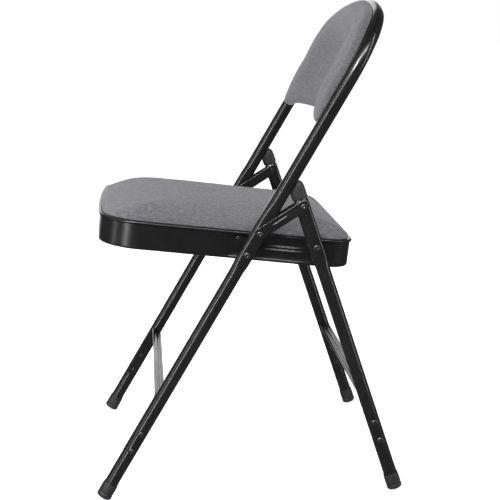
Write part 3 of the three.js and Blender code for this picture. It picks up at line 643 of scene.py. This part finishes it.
# ------------------------------------------------------------------ cross braces with their pressed groove
def brace(fr, foot, top):
    R = 11.0
    pts = [(BR_X, s_, 0.0) for s_ in np.linspace(foot, top - R, 14)]
    pts += [(BR_X - R + R * math.cos(a), top - R + R * math.sin(a), a) for a in np.linspace(0, math.pi / 2, 12)[1:]]
    pts += [(x, top, math.pi / 2) for x in np.linspace(BR_X - R, 0, 24)[1:]]
    pts += [(-x, s_, math.pi - a) for x, s_, a in reversed(pts[:-1])]
    rings = []
    for x, s_, a in pts:
        g = float(smooth(BR_X - 1, BR_X - 34, abs(x))) * 2.6
        w_ = np.array([-9.5, -9.2, -8.4, -6.4, -5.2, -4.4, -3.4, -2.6, -1.6, 0, 1.6, 2.6, 3.4, 4.4, 5.2, 6.4, 8.4, 9.2, 9.5])
        dip = -g * (1 - smooth(1.8, 4.9, np.abs(w_)))
        top_ = np.array([-0.45] + [0.0] * (len(w_) - 2) + [-0.45]) + dip
        bot_ = np.array([-BR_T + 0.45] + [-BR_T] * (len(w_) - 2) + [-BR_T + 0.45]) + dip
        W = np.concatenate([w_, w_[::-1]])
        M = np.concatenate([top_, bot_[::-1]])
        rings.append(fr(x + math.cos(a) * M, s_ + math.sin(a) * M, W))
    return loft(rings)


v, f = brace(P_front, 88.0, 194.0)
piece("front_cross_brace_pressed", v, f, POWDER, "front_frame", ["front_cross_brace"], sharp=50)
v, f = brace(P_rear, 80.0, 180.0)
piece("rear_cross_brace_pressed", v, f, POWDER, "rear_legs", ["rear_cross_brace"], sharp=50)


# ------------------------------------------------------------------ seat outline
SEAT_FRONT, SEAT_BACK, SEAT_RF, SEAT_RB, PAN_H = -239.5, 174.0, 66.0, 44.0, 46.0


def seat_line(step=7.0, arc_n=14):
    """Points (x, t, nx, nt) round the rim, at the wall's outer face."""
    pts = []

    def arc(cx, cy, r, a0, a1):
        for i in range(arc_n + 1):
            a = math.radians(a0 + (a1 - a0) * i / arc_n)
            pts.append((cx + r * math.cos(a), cy + r * math.sin(a), math.cos(a), math.sin(a)))

    def straight(p, q, nrm, bow=0.0):
        d = math.dist(p, q)
        k = max(2, int(d / step))
        for i in range(1, k):
            t = i / k
            x, y = p[0] + (q[0] - p[0]) * t, p[1] + (q[1] - p[1]) * t
            y -= bow * (1 - (2 * t - 1) ** 2)
            pts.append((x, y, *nrm))

    hw, tf, tb, rf, rb = SEAT_HW, SEAT_FRONT, SEAT_BACK, SEAT_RF, SEAT_RB
    arc(hw - rb, tb - rb, rb, 0, 90)
    straight((hw - rb, tb), (-(hw - rb), tb), (0, 1))
    arc(-(hw - rb), tb - rb, rb, 90, 180)
    straight((-hw, tb - rb), (-hw, tf + rf), (-1, 0))
    arc(-(hw - rf), tf + rf, rf, 180, 270)
    straight((-(hw - rf), tf), (hw - rf, tf), (0, -1), 4.0)
    arc(hw - rf, tf + rf, rf, 270, 360)
    straight((hw, tf + rf), (hw, tb - rb), (1, 0))
    return np.array(pts)


LINE = seat_line()


def seat_pan():
    rings = []
    for x, t, nx, nt in LINE:
        w = float(smooth(-38, -24, t) * (1 - smooth(140, 158, t))) if abs(nx) > 0.99 else 0.0
        wb = float(smooth(6, 16, t) * (1 - smooth(94, 106, t))) if abs(nx) > 0.99 else 0.0
        q = -2 * w
        prof = [(-13, -46), (-4, -46)]
        prof += [(-3.2 + 3.2 * math.sin(a), -42.8 - 3.2 * math.cos(a)) for a in np.linspace(0.1, math.pi / 2, 6)]
        prof += [(q * 0.5, -41.6), (q, -40.4), (q, -33)]
        # a double pressed bead along the recessed part
        for h in np.linspace(-29.5, -16.5, 19):
            prof.append((q + 1.9 * wb * (math.exp(-((h + 25.8) / 1.6) ** 2) + math.exp(-((h + 20.2) / 1.6) ** 2)), h))
        prof += [(q, -12), (q, -6.2), (q * 0.5, -5.2)]
        prof += [(0.45 + 2.5 * math.cos(a), -2.5 + 2.5 * math.sin(a)) for a in np.linspace(-1.75, 2.5, 14)]
        prof += [(-3.2, -1.3), (-8, -1.0), (-25, -0.8), (-25, -2.0), (q - SHEET - 1, -2.1), (q - SHEET, -3), (q - SHEET, -41), (-4, -44.8), (-13, -44.8)]
        pr = np.array(prof)
        rings.append(P_seat(x + nx * pr[:, 0], t + nt * pr[:, 0], pr[:, 1]))
    v, f = loft(rings, wrap=True)
    # the pan's copy of the powder coat has a darker base (0.006) than the tubes' (0.0105): painted shade on the pan
    # side, which is the same black paint
    piece("seat_pan_rim", v, f, mat_powder("black_powder_coat_pan_painted_darker", base=0.006, rough=0.30), "seat", ["seat_pan"], sharp=48)


seat_pan()

# ------------------------------------------------------------------ soft goods
CLOTH_FRAMES = 20


def inflate(o, pin_weight, pressure, cap_m, stiff=12.0, bending=0.6):
    """A short pressurised cloth run on the piece's own even mesh, displacement softly capped. Returns (before, after)."""
    n = len(o.data.vertices)
    co = np.empty(n * 3)
    o.data.vertices.foreach_get("co", co)
    co = co.reshape(-1, 3)
    w = np.round(np.clip(pin_weight(co), 0, 1), 1)
    vg = o.vertex_groups.new(name="pin")
    for val in np.unique(w):
        if val > 0:
            vg.add([int(i) for i in np.nonzero(w == val)[0]], float(val), "REPLACE")
    c = o.modifiers.new("cloth", "CLOTH")
    st = c.settings
    st.quality = 6
    st.mass = 0.25
    st.air_damping = 2.0
    st.tension_stiffness = st.compression_stiffness = stiff
    st.shear_stiffness = stiff * 0.6
    st.bending_stiffness = bending
    st.use_pressure = True
    st.uniform_pressure_force = pressure
    st.vertex_group_mass = "pin"
    st.pin_stiffness = 1.0
    st.effector_weights.gravity = 0.0
    c.point_cache.frame_start, c.point_cache.frame_end = 1, CLOTH_FRAMES
    c.collision_settings.use_collision = False
    c.collision_settings.use_self_collision = False
    for fr in range(1, CLOTH_FRAMES + 1):
        sc.frame_set(fr)
    ev = o.evaluated_get(bpy.context.evaluated_depsgraph_get())
    out = np.empty(n * 3)
    ev.data.vertices.foreach_get("co", out)
    out = out.reshape(-1, 3)
    o.modifiers.clear()
    o.vertex_groups.clear()
    sc.frame_set(1)
    d = out - co
    ln = np.linalg.norm(d, axis=1)
    k = np.where(ln > 1e-9, cap_m * np.tanh(ln / cap_m) / np.maximum(ln, 1e-9), 1.0)
    print("cloth", o.name, n, "moved mm: mean", round(float(ln.mean() * 1000), 2), "max", round(float(ln.max() * 1000), 2))
    return co, co + d * k[:, None]


def write(o, co):
    o.data.vertices.foreach_set("co", np.ascontiguousarray(co, float).ravel())
    o.data.update()


def fbm(p, scale, seed=0.0):
    """Cheap repeatable noise from mathutils, in -1..1."""
    from mathutils import noise as mn
    off = Vector((seed, seed * 1.7, seed * 2.3))
    return np.array([mn.fractal(Vector(q) * scale + off, 0.8, 2.0, 3) for q in p])


def soft_finish(o, body, node):
    for p in o.data.polygons:
        p.use_smooth = True
    sub = o.modifiers.new("sub", "SUBSURF")
    sub.levels = sub.render_levels = 1
    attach(o, body)
    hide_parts(node)


def poly_distance(px, py, line):
    """Distance of points from a closed polyline."""
    a = line
    b = np.roll(line, -1, 0)
    best = np.full(len(px), 1e9)
    for (ax, ay), (bx, by) in zip(a, b):
        dx, dy = bx - ax, by - ay
        L2 = dx * dx + dy * dy
        if L2 < 1e-12:
            continue
        t = np.clip(((px - ax) * dx + (py - ay) * dy) / L2, 0, 1)
        best = np.minimum(best, np.hypot(px - ax - t * dx, py - ay - t * dy))
    return best


# seat cushion -------------------------------------------------------
CROWN = 30.0
SWELL = 4.5  # what the cloth run adds at the crown


def seat_rise(d, nt):
    f, b = np.clip(-nt, 0, None) ** 2, np.clip(nt, 0, None) ** 2
    return CROWN * (1 - 0.08 * f) * (1 - np.exp(-(np.maximum(d, 0) - 1.5 - 1.5 * f + b) / (20 + 10 * f - 4 * b)))


def seat_cushion():
    x, t, nx, nt = LINE.T
    c0 = (0.0, -34.0)
    rings = []
    for d, h in ((60, 4.9), (40, 4.9), (26, 4.9), (15.2, 4.9), (14.1, 4.5), (14.1, 0.2), (13.5, -0.3), (9, -0.3), (4.6, -0.3), (3.9, 0.4)):
        rings.append(P_seat(x - nx * d, t - nt * d, np.full_like(x, h)))
    for d, k in [(dd, 0.0) for dd in (3.8, 4.4, 5.6, 7.5, 10, 13, 17, 21.5, 27)] + [(27, float(kk)) for kk in np.linspace(0.035, 0.97, 27)]:
        X0, T0 = x - nx * d, t - nt * d
        X, T = X0 + (c0[0] - X0) * k, T0 + (c0[1] - T0) * k
        far = np.abs((X0 - X) * nx + (T0 - T) * nt)
        h = seat_rise(d + far, nt)
        h = np.where(d < 6, np.maximum(h, 0.9 + 0.9 * (d - 3.4)), h)
        rings.append(P_seat(X, T, h * (1 - SWELL / CROWN)))
    n = len(x)
    v, f = loft(rings, caps=False)
    v = list(v) + [P_seat(0.0, c0[1], CROWN - SWELL), P_seat(0.0, c0[1], 4.9)]
    last = (len(rings) - 1) * n
    f = list(f) + [(last + j, last + (j + 1) % n, len(v) - 2) for j in range(n)] + [(j, (j + 1) % n, len(v) - 1) for j in range(n)]
    o = add_mesh("seat_cushion_upholstered", np.array(v) * MM, f, FAB_SEAT)
    clean(o.data)

    def local(co):
        p = co / MM
        y, z = p[:, 1] - SEAT_Y0, p[:, 2] - SEAT_Z
        return p[:, 0], y * CT - z * ST, y * ST + z * CT

    line2 = LINE[:, :2]

    def pins(co):
        X, T, H = local(co)
        d = poly_distance(X, T, line2)
        return np.where(H < 3.0, 1.0, np.clip(1 - (d - 6) / 14, 0, 1) * np.clip(1 - (H - 3) / 12, 0, 1))

    co, new = inflate(o, pins, 4.0, 0.0075)
    X, T, H = local(new)
    d = poly_distance(X, T, line2)
    # the cover is gathered where it tucks under the rim, and dimples a little over the foam
    ang = np.arctan2(T + 34, X)
    gather = 0.35 * np.exp(-((d - 8) / 6) ** 2) * np.sin(ang * 74 + 3 * np.sin(ang * 9)) * (H > 2)
    soft_ = 0.55 * fbm(np.stack([X, T, 0 * X], 1) * 0.012, 1.0, 3.1) * smooth(10, 40, d) * (H > 6)
    H = H + gather + soft_
    write(o, P_seat(X, T, H) * MM)
    soft_finish(o, "seat", "seat_cushion")


# backrest cushion ---------------------------------------------------
PAD_S0 = 709.0


def pad_line():
    """Outline (x, s, nx, ns, on the tube) of the backrest round the hoop's axis and along its arched lower edge."""
    half = hoop(PAD_S0 + 6, 8.0)
    rows = [(x, s, math.cos(a - math.pi / 2), math.sin(a - math.pi / 2), 1.0) for x, s, a in half]
    rows += [(-x, s, -nx, ns, 1.0) for x, s, nx, ns, _ in reversed(rows[:-1])]
    global PAD_LOW
    PAD_LOW = len(rows)
    low = np.linspace(-212, 212, 60)
    for x in low:
        s = PAD_S0 + 27 * (1 - min(1, abs(x) / 205) ** 2) + 3.0 * float(smooth(200, 212, abs(x)))
        e = float(smooth(196, 212, abs(x)))
        n_ = np.array([math.copysign(0.9, x) * e, -1 + 0.45 * e])
        n_ /= np.linalg.norm(n_)
        rows.append((x, s, n_[0], n_[1], float(smooth(188, 210, abs(x)))))
    return np.array(rows)


PAD = pad_line()


def pad_inset(d_hoop, d_low):
    """The outline moved inward by d_hoop along the hoop and by d_low along the lower edge, meeting in the corners."""
    x, s, nx, ns, _ = PAD.T
    low = np.arange(len(PAD)) >= PAD_LOW
    Xh = x - nx * d_hoop
    Sh = s - ns * d_hoop + np.maximum(0, d_low - (s - PAD_S0) / 2)
    Xl = np.sign(x) * (np.abs(x) - np.maximum(0, (d_hoop - 9) - (212 - np.abs(x)) / 2))
    Sl = s + d_low
    return np.where(low, Xl, Xh), np.where(low, Sl, Sh)


def pad_sag(x, s):
    return 35 * (1 - smooth(35, 178, np.abs(x))) * (1 - smooth(838, 912, s))


def pad_crest(s):
    return 16.0 + 10.5 * smooth(702, 770, s) + 3.5 * smooth(790, 860, s) - 6.5 * smooth(870, 925, s)


def pad_edge(s):
    """Where the cover's edge lies on the tube, inward from its axis: on the front at the sides, over the top at the arc."""
    return 5.5 - 9.0 * smooth(790, 905, s)


def backrest_cushion():
    x, s, nx, ns, hoopw = PAD.T
    c0 = (0.0, 815.0)
    swell = 3.0
    rings = []
    # back face and the edge tucked in behind the tube; the lower edge is a full rolled edge
    edge = pad_edge(s)
    for d, dl in ((60, 48), (40, 28), (24, 12), (14.5, 3.0)):
        X, S = pad_inset(d, dl)
        rings.append(P_front(X, S, -4.2 - pad_sag(X, S)))
    # tucked against the tube; on the lower edge the same rings roll round the pad's free edge
    for d, dl, nl in ((13.0, 1.2, -3.4), (11.75, 0.4, -1.0), (10.9, 0.0, 2.0), (9.2, 0.0, 4.5), (6.8, 0.0, 7.0), (3.8, 0.1, 9.4), (0.5, 0.3, 11.0), (-3.0, 0.5, 11.8), (-6.5, 0.6, 12.2)):
        dd = np.maximum(d, edge)
        X, S = pad_inset(dd, dl)
        on_tube = np.sqrt(np.maximum(0, 11.75 ** 2 - np.minimum(dd, 11.75) ** 2))
        if d > 12:
            on_tube = np.full(len(x), -2.8)
        rings.append(P_front(X, S, on_tube * hoopw + (nl - pad_sag(X, S)) * (1 - hoopw)))
    lip = np.sqrt(11.75 ** 2 - np.minimum(edge, 11.7) ** 2) + 0.9
    for d, k in [(dd, 0.0) for dd in (0.15, 0.6, 1.3, 2.4, 4.0, 6.2, 9.0, 12.4, 16.4, 21, 26, 31)] + [(31, float(kk)) for kk in np.linspace(0.04, 0.96, 22)]:
        X0, S0 = pad_inset(d + edge, d)
        X, S = X0 + (c0[0] - X0) * k, S0 + (c0[1] - S0) * k
        deep = d + 8.0 * (k > 0) + k * 160
        tau = 12.0 - 4.5 * smooth(850, 910, s)
        tau = tau * hoopw + 6.5 * (1 - hoopw)
        e = 1 - np.exp(-(deep if k else d) / tau)
        base = lip * hoopw + 12.6 * (1 - hoopw)
        top = pad_crest(S) - swell * smooth(2, 20, d) * smooth(706, 760, S)
        rings.append(P_front(X, S, base + (top - base) * e - pad_sag(X, S)))
    n = len(x)
    v, f = loft(rings, caps=False)
    v = list(v) + [P_front(c0[0], c0[1], pad_crest(c0[1]) - swell - pad_sag(0.0, c0[1])), P_front(c0[0], c0[1], -4.2 - pad_sag(0.0, c0[1]))]
    last = (len(rings) - 1) * n
    f = list(f) + [(last + j, last + (j + 1) % n, len(v) - 2) for j in range(n)] + [(j, (j + 1) % n, len(v) - 1) for j in range(n)]
    o = add_mesh("backrest_cushion_upholstered", np.array(v) * MM, f, FAB_BACK)
    clean(o.data)

    def local(co):
        p = co / MM
        y, z = p[:, 1] - FRONT_Y0, p[:, 2]
        return p[:, 0], y * FC + z * FS, -y * FS + z * FC

    line2 = PAD[:, :2]

    def pins(co):
        X, S, Nn = local(co)
        d = poly_distance(X, S, line2)
        back = (Nn + pad_sag(X, S)) < 4.0
        return np.where(back, 1.0, np.clip(1 - (d - 5) / 14, 0, 1))

    co, new = inflate(o, pins, 3.0, 0.0045)
    X0, S0, N0 = local(co)
    X, S, Nn = local(new)
    # the cover is stretched tight across the hollow middle and fills out along the two ridges
    Nn = N0 + (Nn - N0) * (1 - 0.75 * (1 - smooth(95, 160, np.abs(X0))) * (1 - smooth(840, 900, S0)))
    d = poly_distance(X, S, line2)
    front = (Nn + pad_sag(X, S)) > 6
    along_ = np.arctan2(S - 815, X)
    gather = 0.45 * np.exp(-((d - 4) / 5) ** 2) * np.sin(along_ * 88 + 2.5 * np.sin(along_ * 11)) * front
    soft_ = 0.8 * fbm(np.stack([X, S, 0 * X], 1) * 0.011, 1.0, 7.7) * smooth(8, 40, d) * front
    # slack folds that run up beside each ridge into the top corners
    lean = np.abs(X) + 0.55 * (S - 800) * smooth(800, 900, S)
    soft_ += 0.9 * np.sin(lean / 4.6) * np.exp(-((lean - 168) / 26) ** 2) * smooth(770, 840, S) * smooth(9, 22, d) * front
    write(o, P_front(X, S, Nn + gather + soft_) * MM)
    soft_finish(o, "front_frame", "backrest_cushion")


seat_cushion()
backrest_cushion()


# backrest panel: pressed steel shell that closes the back of the pad
def backrest_panel():
    x, s, nx, ns, hoopw = PAD.T
    c0 = (0.0, 815.0)
    rings = []
    for off, seq in ((-5.0, (0.9, 0.7, 0.5, 0.3, 0.12, 0.0)), (-6.4, (0.0, 0.12, 0.3, 0.5, 0.7, 0.9))):
        for k in seq:
            d = 12.8 if off < -5.5 and k == 0.0 else 12.2
            X0, S0 = pad_inset(d, d - 3.2)
            X, S = X0 + (c0[0] - X0) * k, S0 + (c0[1] - S0) * k
            edge = 1 - smooth(0.0, 0.1, k)
            rings.append(P_front(X, S, off - pad_sag(X, S) + (0.35 * edge if off < -5.5 else 0)))
    n = len(x)
    v, f = loft(rings, caps=False)
    v = list(v) + [P_front(0.0, 815.0, -5.0 - pad_sag(0.0, 815.0)), P_front(0.0, 815.0, -6.4 - pad_sag(0.0, 815.0))]
    last = (len(rings) - 1) * n
    f = list(f) + [(j, (j + 1) % n, len(v) - 2) for j in range(n)] + [(last + j, last + (j + 1) % n, len(v) - 1) for j in range(n)]
    piece("backrest_panel_pressed", v, f, POWDER, "front_frame", ["backrest_panel"], sharp=45)


backrest_panel()


def backrest_screws():
    """Pan-head screws, seated on the pressed panel's outer face."""
    prof = [(0, -1.6), (0.5, -0.9), (0.9, -0.9), (1.0, -1.85), (2.6, -1.75), (3.5, -1.2), (4, -0.5), (4, 0), (2, 0), (2, 1.1), (0, 1.3)]
    v, f = lathe(prof, 24)
    for i, (x, s) in enumerate(((-150, 760), (150, 760), (-120, 860), (120, 860))):
        piece(f"backrest_screw_{i + 1}_head", along(v, P_front(float(x), float(s), -6.7 - float(pad_sag(x, s))), N_FRONT), f, FAST, "front_frame", [f"backrest_screw_{i + 1}"], sharp=40)


backrest_screws()

# ------------------------------------------------------------------ stage
def mat_floor():
    m, nt, b = new_mat("floor_white")
    v = coords(nt)
    n1 = noise(nt, v, 3, 2, 0.5)
    col = ramp(nt, n1, [(0.3, (0.9, 0.9, 0.9)), (0.8, (0.93, 0.93, 0.93))])
    nt.links.new(col, b.inputs["Base Color"])
    b.inputs["Roughness"].default_value = 0.9
    b.inputs["Specular IOR Level"].default_value = 0.1
    b.inputs["Emission Color"].default_value = (1, 1, 1, 1)
    b.inputs["Emission Strength"].default_value = 0.72
    return m


R = 30.0
floor = add_mesh("floor", [(-R, -R, 0), (R, -R, 0), (R, R, 0), (-R, R, 0)], [(0, 1, 2, 3)], mat_floor(), False)
floor.visible_glossy = False

world = bpy.data.worlds.new("studio")
sc.world = world
world.use_nodes = True
wt = world.node_tree
wt.nodes.clear()
wo = N(wt, "ShaderNodeOutputWorld")
lp = N(wt, "ShaderNodeLightPath")
bg_soft = N(wt, "ShaderNodeBackground")
bg_soft.inputs[0].default_value = (1, 1, 1, 1)
bg_soft.inputs[1].default_value = 0.40
bg_gloss = N(wt, "ShaderNodeBackground")
bg_gloss.inputs[0].default_value = (1, 1, 1, 1)
# reflections: a dim room with a group of soft bright windows on the far side, which the tops of the cross braces mirror
tcw = N(wt, "ShaderNodeTexCoord")
windows = None
for d in ((-0.976, 0.22, 0.02), (-0.975, -0.22, -0.02), (-0.975, -0.048, 0.213), (-0.965, -0.06, 0.30), (-0.975, -0.20, 0.13)):
    dot = N(wt, "ShaderNodeVectorMath", operation="DOT_PRODUCT")
    wt.links.new(tcw.outputs["Generated"], dot.inputs[0])
    dot.inputs[1].default_value = d
    spot = maprange(wt, dot.outputs["Value"], 0.972, 0.990, 0.0, 1.0)
    windows = spot if windows is None else math_node(wt, "MAXIMUM", windows, spot)
wt.links.new(maprange(wt, windows, 0.0, 1.0, 0.10, 1.7), bg_gloss.inputs[1])
bg_cam = N(wt, "ShaderNodeBackground")
bg_cam.inputs[0].default_value = (1, 1, 1, 1)
bg_cam.inputs[1].default_value = 1.0
mx1, mx2 = N(wt, "ShaderNodeMixShader"), N(wt, "ShaderNodeMixShader")
wt.links.new(lp.outputs["Is Glossy Ray"], mx1.inputs[0])
wt.links.new(bg_soft.outputs[0], mx1.inputs[1])
wt.links.new(bg_gloss.outputs[0], mx1.inputs[2])
wt.links.new(lp.outputs["Is Camera Ray"], mx2.inputs[0])
wt.links.new(mx1.outputs[0], mx2.inputs[1])
wt.links.new(bg_cam.outputs[0], mx2.inputs[2])
wt.links.new(mx2.outputs[0], wo.inputs[0])


def area(name, loc, target, size, power):
    d = bpy.data.lights.new(name, "AREA")
    d.shape = "RECTANGLE"
    d.size, d.size_y = size
    d.energy = power
    o = bpy.data.objects.new(name, d)
    sc.collection.objects.link(o)
    o.location = loc
    o.rotation_mode = "QUATERNION"
    o.rotation_quaternion = (Vector(target) - Vector(loc)).to_track_quat("-Z", "Y")
    return o


key = area("key", (-1.5, -2.1, 2.6), (0, 0, 0.5), (1.2, 1.0), 85)
key.visible_glossy = False
fill = area("fill", (3.2, -0.9, 1.3), (0, 0, 0.55), (2.2, 1.6), 42)
fill.visible_glossy = False
# tall narrow panels seen only in reflections: they draw the thin bright lines along the tubes and the pan's rim
for name, loc, size, power in (("strip_front", (2.35, -1.95, 1.15), (0.3, 3.0), 46),
                               ("strip_side", (0.75, -2.5, 1.5), (0.2, 3.4), 18),
                               ("strip_top", (2.0, 0.1, 2.65), (3.0, 0.5), 80),
                               ("strip_back", (0.9, 2.6, 1.4), (0.22, 3.0), 24),
                               ("spark", (2.3, -1.0, 2.6), (0.9, 0.9), 90)):
    o = area(name, loc, (0, 0, 0.5), size, power)
    o.visible_diffuse = False
sc.view_settings.view_transform = "Standard"
sc.view_settings.exposure = 0.0
